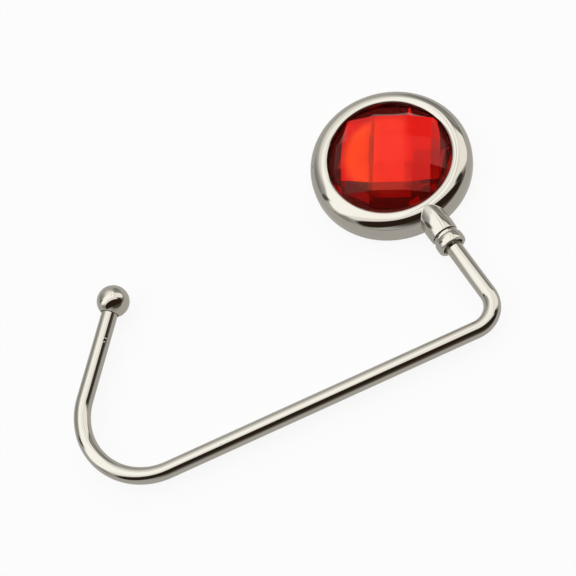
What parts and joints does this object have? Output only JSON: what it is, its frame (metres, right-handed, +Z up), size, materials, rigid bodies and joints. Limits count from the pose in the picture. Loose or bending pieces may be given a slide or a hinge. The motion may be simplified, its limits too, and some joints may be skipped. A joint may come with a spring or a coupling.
{
  "type": "purse hook",
  "caption": "Table-top purse hook: nickel-plated round disc with a red faceted stone and a non-slip pad, and a bent wire hook with a ball tip that swivels in the disc's neck.",
  "frame": {"origin": "centre of the grip pad's underside, which stands on the table", "axes": "+Z up through the stone, -Y outwards along the neck and the hook's swivel axis, and the hook lies flat towards -X"},
  "size_m": [0.1189, 0.0708, 0.0105],
  "materials": {
    "disc_nickel": "polished nickel plating on a zinc casting",
    "collar_nickel": "polished nickel plating, turned",
    "wire_nickel": "polished nickel plating on steel wire",
    "ball_nickel": "mirror-polished nickel plating",
    "red_stone": "clear red acrylic, faceted and polished",
    "mirror_foil": "mirror foil",
    "cement": "set clear glue",
    "pad_rubber": "matt non-slip rubber",
    "adhesive": "adhesive film"
  },
  "bodies": {
    "disc": {"disc_casting": "disc_nickel", "gem_stone": "red_stone", "gem_foil": "mirror_foil", "gem_cement": "cement", "neck_collar": "collar_nickel", "grip_pad": "pad_rubber", "pad_adhesive": "adhesive"},
    "hook": {"hook_wire": "wire_nickel", "hook_ball": "ball_nickel"}
  },
  "joints": [
    {"name": "hook_swivel", "type": "hinge", "parent": "disc", "child": "hook", "pos_m": [0, -0.02475, 0.004], "axis": [0, -1, 0], "continuous": true}
  ]
}
